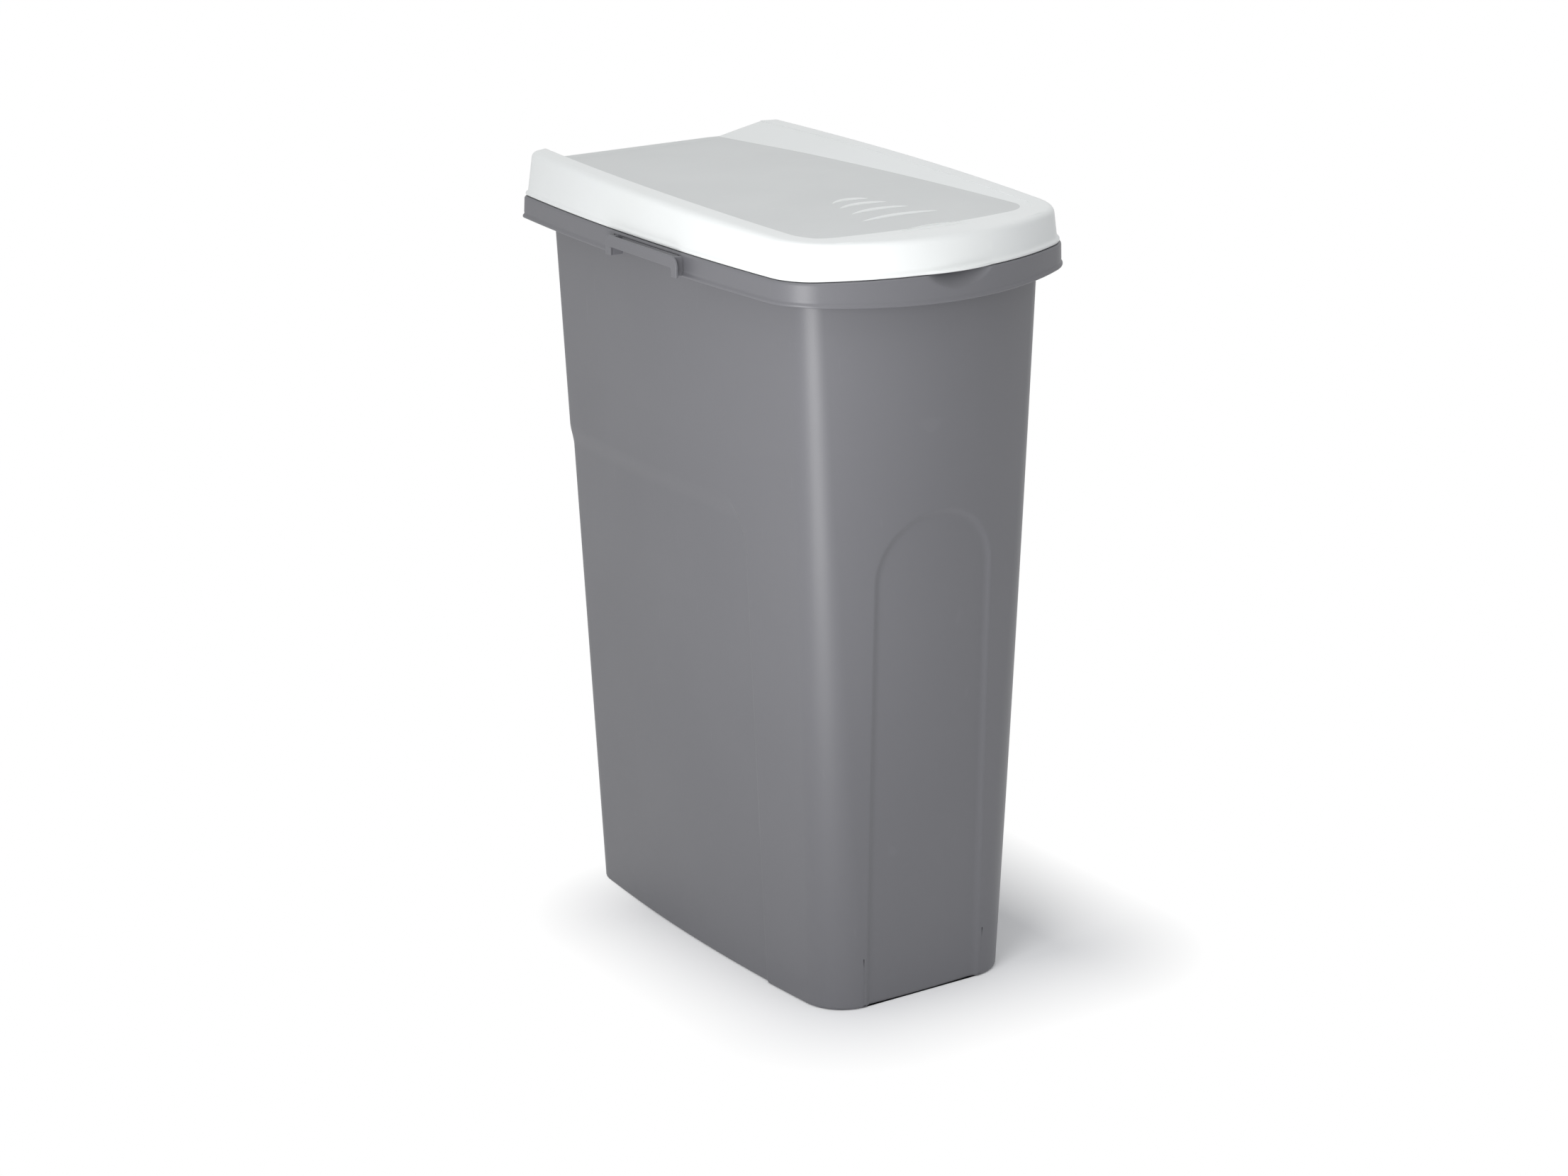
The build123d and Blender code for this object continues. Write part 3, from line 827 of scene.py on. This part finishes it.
# inside: the bottom edge, the inner wall, and the underside a wall's thickness below the top
lid_foot_share = 0.8
lid_foot_rise = 0.0004
wall_rings.append(level_ring(edge_xy, edge_out, lid_low, lid_wall * lid_foot_share))
wall_rings.append(level_ring(edge_xy, edge_out, lid_low + lid_foot_rise, lid_wall))
for share in np.linspace(0, 1, 5):
    z = waist_height + (lid_top_z - radius_at - waist_height) * share
    wall_rings.append(lid_wall_ring(z, lid_wall))
inner_radius = np.maximum(radius_at - lid_wall, 0.0002)
for turn in np.linspace(0, math.pi / 2, 5)[1:-1]:
    z = lid_top_z - lid_wall - inner_radius * (1 - math.sin(turn))
    wall_rings.append(lid_wall_ring(z, lid_wall + inner_radius * (1 - math.cos(turn))))

lid_vertices = [tuple(p) for p in top_vertices]
lid_faces = list(top_faces)
loops = [border]
for ring in wall_rings:
    start = len(lid_vertices)
    lid_vertices += [tuple(p) for p in ring]
    loops.append(list(range(start, start + len(ring))))
under_start = len(lid_vertices)
lid_vertices += [(x, y, z - lid_wall) for x, y, z in top_vertices]
loops.append([under_start + index for index in border])
lid_faces += [tuple(under_start + index for index in reversed(face)) for face in top_faces]
for first, second in zip(loops, loops[1:]):
    for k in range(len(border)):
        following = (k + 1) % len(border)
        lid_faces.append((first[following], first[k], second[k], second[following]))

# ribs that fingers press on, raised crescents across the panel, and the two thin arcs of a bare badge place:
# half length, place, width, bow, height of each
ribs = (
    (0.0156, -0.0786, 0.0060, 0.0055, 0.0011),
    (0.0205, -0.0956, 0.0060, 0.0055, 0.0011),
    (0.0247, -0.1171, 0.0060, 0.0055, 0.0011),
    (0.0325, -0.1416, 0.0060, 0.0055, 0.0011),
    (0.0310, -0.1844, 0.0016, 0.0060, 0.0007),
    (0.0310, -0.1844, 0.0016, -0.0035, 0.0007),
)
rib_root = 0.0004
rib_steps = 40
rib_around = 12
rib_tip = 0.02
rib_lean = 0.45
for half_length, place, rib_width, rib_bow, rib_height in ribs:
    start = len(lid_vertices)
    for step in range(rib_steps + 1):
        along = -math.cos(math.pi * step / rib_steps)
        taper = 1 - along**2
        crown = place + rib_bow * taper
        for turn in np.linspace(0, math.pi, rib_around + 1):
            y = crown + rib_width / 2 * (taper**0.7 + rib_tip) * math.cos(turn)
            rise = rib_height * taper**0.5 * math.sin(turn) * (1 - rib_lean * math.cos(turn))
            z = panel_height(y) - rib_root + (rise + rib_root) * (turn not in (0, math.pi))
            lid_vertices.append((along * half_length, y, z))
    row = rib_around + 1
    for step in range(rib_steps):
        for k in range(rib_around):
            a = start + step * row + k
            lid_faces.append((a, a + row, a + row + 1, a + 1))

# the lean: everything above the bead moves left, most at the back
lid_vertices = np.array(lid_vertices)
up = np.clip((lid_vertices[:, 2] - waist_height) / (lid_back_height - waist_height), 0, 1)
lid_vertices[:, 0] -= lean_reach * up * smooth(lid_vertices[:, 1], lean_start, crown_plan.back)
lid_vertices = lid_vertices.tolist()

lid_mesh = bpy.data.meshes.new("lid_shell")
lid_mesh.from_pydata(lid_vertices, [], lid_faces)
lid = finished("lid_shell", lid_mesh)
# the sunk panel's faces get the grained white, whose darker colour is painted shade
on_panel = np.zeros(len(lid_faces), dtype=np.int32)
on_panel[ring_face_count : len(top_faces)] = 1

white_plastic = moulded_plastic(
    "white polypropylene",
    color=(0.800, 0.815, 0.810),
    rubbed_color=(0.785, 0.800, 0.790),
    pits=1300.0,
    pit_depth=0.00010,
    gloss_low=0.36,
    gloss_high=0.44,
    rub_scale=8.0,
    specular=0.45,
    sheen=0.0,
)
# the sunk panel's white: grained, and darker in colour; the darker colour is painted shade, making the flat
# panel darker than the slopes and rails beside it
grained_white_painted_shade = moulded_plastic(
    "grained white polypropylene with painted shade",
    color=(0.620, 0.632, 0.629),
    rubbed_color=(0.635, 0.647, 0.643),
    pits=950.0,
    pit_depth=0.00030,
    gloss_low=0.46,
    gloss_high=0.56,
    rub_scale=14.0,
    specular=0.45,
    sheen=0.0,
)
lid.data.materials.append(white_plastic)
lid.data.materials.append(grained_white_painted_shade)
lid.data.polygons.foreach_set("material_index", on_panel)
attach(lid, "lid")
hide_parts("lid")


# Hinge arms: two arms of the lid's white polypropylene, moulded on its back. They reach over the rim and
# end in knuckles that turn on the pins.
arm_low = rim_top + 0.0018
arm_rise = 0.014
arm_crown = 0.0018
arm_root = crown_plan.back - lid_wall / 2
arm_edge_radius = 0.0006


def three_point_arc(start, through, end, steps):
    """Points on the arc from one point by a second to a third, all in Y and Z."""
    (ax, ay), (bx, by), (cx, cy) = start, through, end
    d = 2 * (ax * (by - cy) + bx * (cy - ay) + cx * (ay - by))
    ux = ((ax**2 + ay**2) * (by - cy) + (bx**2 + by**2) * (cy - ay) + (cx**2 + cy**2) * (ay - by)) / d
    uy = ((ax**2 + ay**2) * (cx - bx) + (bx**2 + by**2) * (ax - cx) + (cx**2 + cy**2) * (bx - ax)) / d
    radius = math.hypot(ax - ux, ay - uy)
    first, last = math.atan2(ay - uy, ax - ux), math.atan2(cy - uy, cx - ux)
    return quarter_points(ux, uy, radius, first, last, steps)


arm_outline = three_point_arc(
    (arm_root, arm_low + arm_rise),
    (hinge_y + arm_crown, hinge_z + arm_rise),
    (hinge_y + knuckle_radius, hinge_z),
    16,
)
arm_outline += quarter_points(hinge_y, hinge_z, knuckle_radius, 0, -math.pi, 16)[1:]
arm_outline += [(hinge_y - knuckle_radius, arm_low), (arm_root, arm_low)]
arm_parts = []
for side in (-1, 1):
    knuckle_start = side * hinge_half_spacing - knuckle_length / 2
    arm_parts.append((arm_outline, knuckle_start, knuckle_start + knuckle_length))
arms = plates_object("lid_hinge_arms", arm_parts, arm_edge_radius)
arms.data.materials.append(white_plastic)
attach(arms, "lid")


# Studio: a pale floor whose shadow round the base is partly painted, with a lit board on it at the left of
# the camera, a soft box close by on the same side, and a large one high above the camera.
def emitting_shader(tree, color, strength):
    """An emission node of a plain colour."""
    node = tree.nodes.new("ShaderNodeEmission")
    node.inputs["Color"].default_value = (*color, 1)
    node.inputs["Strength"].default_value = strength
    return node


def shown_background(tree):
    """1 for a ray that shows the background: to the camera, in a gloss or through a clear piece."""
    path = tree.nodes.new("ShaderNodeLightPath")
    seen = path.outputs["Is Camera Ray"]
    for ray in ("Is Glossy Ray", "Is Transmission Ray"):
        either = tree.nodes.new("ShaderNodeMath")
        either.use_clamp = True
        tree.links.new(seen, either.inputs[0])
        tree.links.new(path.outputs[ray], either.inputs[1])
        seen = either.outputs[0]
    return seen


# painted shadow: a box round the base, shifted a little away from the lamps, lets the floor show the lamps'
# shade;
# past it the floor fades to plain white, so the box paints where the shadow reaches
painted_shadow_middle = (0.034, -0.046, 0.0)
painted_shadow_half = (0.094, 0.110, 0.0)
painted_shadow_start = 0.011
painted_shadow_fade = 0.112
painted_shadow_white = 0.051
floor_reach = 12.0
floor_mesh = bpy.data.meshes.new("floor")
floor_corners = [(x * floor_reach, y * floor_reach) for x, y in ((-1, -1), (1, -1), (1, 1), (-1, 1))]
floor_mesh.from_pydata([(x, y, 0.0) for x, y in floor_corners], [], [(0, 1, 2, 3)])
floor = bpy.data.objects.new("floor", floor_mesh)
bpy.context.scene.collection.objects.link(floor)
floor_paint = bpy.data.materials.new("pale floor")
floor_paint.use_nodes = True
floor_tree = floor_paint.node_tree
floor_shader = floor_tree.nodes["Principled BSDF"]
floor_shader.inputs["Base Color"].default_value = (0.86, 0.86, 0.87, 1)
floor_shader.inputs["Roughness"].default_value = 0.9
floor_shader.inputs["Specular IOR Level"].default_value = 0.1
floor_white = emitting_shader(floor_tree, (1.0, 1.0, 1.0), 1.0)
clear_of_bin = floor_tree.nodes.new("ShaderNodeTexCoord").outputs["Object"]
for operation, amount in (
    ("SUBTRACT", painted_shadow_middle),
    ("ABSOLUTE", None),
    ("SUBTRACT", painted_shadow_half),
    ("MAXIMUM", (0.0, 0.0, 0.0)),
):
    vector_step = floor_tree.nodes.new("ShaderNodeVectorMath")
    vector_step.operation = operation
    floor_tree.links.new(clear_of_bin, vector_step.inputs[0])
    if amount:
        vector_step.inputs[1].default_value = amount
    clear_of_bin = vector_step.outputs["Vector"]
distance = floor_tree.nodes.new("ShaderNodeVectorMath")
distance.operation = "LENGTH"
floor_tree.links.new(clear_of_bin, distance.inputs[0])
painted_shadow_end = painted_shadow_start + painted_shadow_fade
whiteness = blend_range(floor_tree, distance.outputs["Value"], painted_shadow_start, painted_shadow_end, painted_shadow_white, 1.0)
share = floor_tree.nodes.new("ShaderNodeMath")
share.operation = "MULTIPLY"
floor_tree.links.new(whiteness, share.inputs[0])
floor_tree.links.new(shown_background(floor_tree), share.inputs[1])
floor_mix = floor_tree.nodes.new("ShaderNodeMixShader")
floor_tree.links.new(share.outputs[0], floor_mix.inputs[0])
floor_tree.links.new(floor_shader.outputs[0], floor_mix.inputs[1])
floor_tree.links.new(floor_white.outputs[0], floor_mix.inputs[2])
floor_tree.links.new(floor_mix.outputs[0], floor_tree.nodes["Material Output"].inputs["Surface"])
floor_mesh.materials.append(floor_paint)

world = bpy.data.worlds.new("studio")
bpy.context.scene.world = world
world.use_nodes = True
world_tree = world.node_tree
ambient = world_tree.nodes["Background"]
ambient.inputs["Color"].default_value = (0.96, 0.98, 1.0, 1)
ambient.inputs["Strength"].default_value = 0.52
backdrop = world_tree.nodes.new("ShaderNodeBackground")
backdrop.inputs["Color"].default_value = (1, 1, 1, 1)
backdrop.inputs["Strength"].default_value = 1.0
world_mix = world_tree.nodes.new("ShaderNodeMixShader")
world_tree.links.new(shown_background(world_tree), world_mix.inputs[0])
world_tree.links.new(ambient.outputs[0], world_mix.inputs[1])
world_tree.links.new(backdrop.outputs[0], world_mix.inputs[2])
world_tree.links.new(world_mix.outputs[0], world_tree.nodes["World Output"].inputs["Surface"])


def soft_lamp(name, azimuth, reach, height, width, tall, power, facing):
    """A soft box at a reach from the bin's middle; azimuth 0 is in front, positive to the right."""
    a = math.radians(azimuth)
    outward = Vector((math.sin(a), -math.cos(a), 0))
    light = bpy.data.lights.new(name, "AREA")
    light.shape = "RECTANGLE"
    light.size = width
    light.size_y = tall
    light.energy = power
    lamp = bpy.data.objects.new(name, light)
    lamp.location = outward * reach + Vector((0, 0, height))
    lamp.rotation_mode = "QUATERNION"
    if facing == "bin":
        lamp.rotation_quaternion = (lamp.location - Vector((0, 0, 0.35))).to_track_quat("Z", "Y")
    elif facing == "level":
        lamp.rotation_quaternion = outward.to_track_quat("Z", "Y")
    else:
        turned = Matrix(((math.cos(a), math.sin(a), 0), (math.sin(a), -math.cos(a), 0), (0, 0, -1)))
        lamp.rotation_quaternion = turned.to_quaternion()
    lamp.visible_camera = False
    bpy.context.scene.collection.objects.link(lamp)
    return lamp


soft_lamp("floor board", -51, 1.15, 0.02, 0.60, 0.60, 7.8, "up")
soft_lamp("near key", -51, 0.80, 0.53, 0.35, 0.50, 2.8, "level")
soft_lamp("top", -35, 0.80, 2.40, 1.80, 1.80, 17.5, "bin")

camera_place = Vector((-1.4852, -2.26315, 1.1444))
camera_azimuth = math.radians(-33.11)
camera_elevation = math.radians(17.80)
camera_roll = math.radians(-0.55)
camera_back = Vector(
    (
        math.sin(camera_azimuth) * math.cos(camera_elevation),
        -math.cos(camera_azimuth) * math.cos(camera_elevation),
        math.sin(camera_elevation),
    )
)
level_right = Vector((math.cos(camera_azimuth), math.sin(camera_azimuth), 0))
level_up = camera_back.cross(level_right)
camera_right = math.cos(camera_roll) * level_right + math.sin(camera_roll) * level_up
camera_up = -math.sin(camera_roll) * level_right + math.cos(camera_roll) * level_up
camera_data = bpy.data.cameras.new("camera")
camera_data.sensor_width = 36.0
camera_data.lens = 84.79
camera = bpy.data.objects.new("camera", camera_data)
axes = Matrix((camera_right, camera_up, camera_back)).transposed().to_4x4()
camera.matrix_world = Matrix.Translation(camera_place) @ axes
bpy.context.scene.collection.objects.link(camera)
bpy.context.scene.camera = camera
bpy.context.scene.view_settings.view_transform = "Standard"
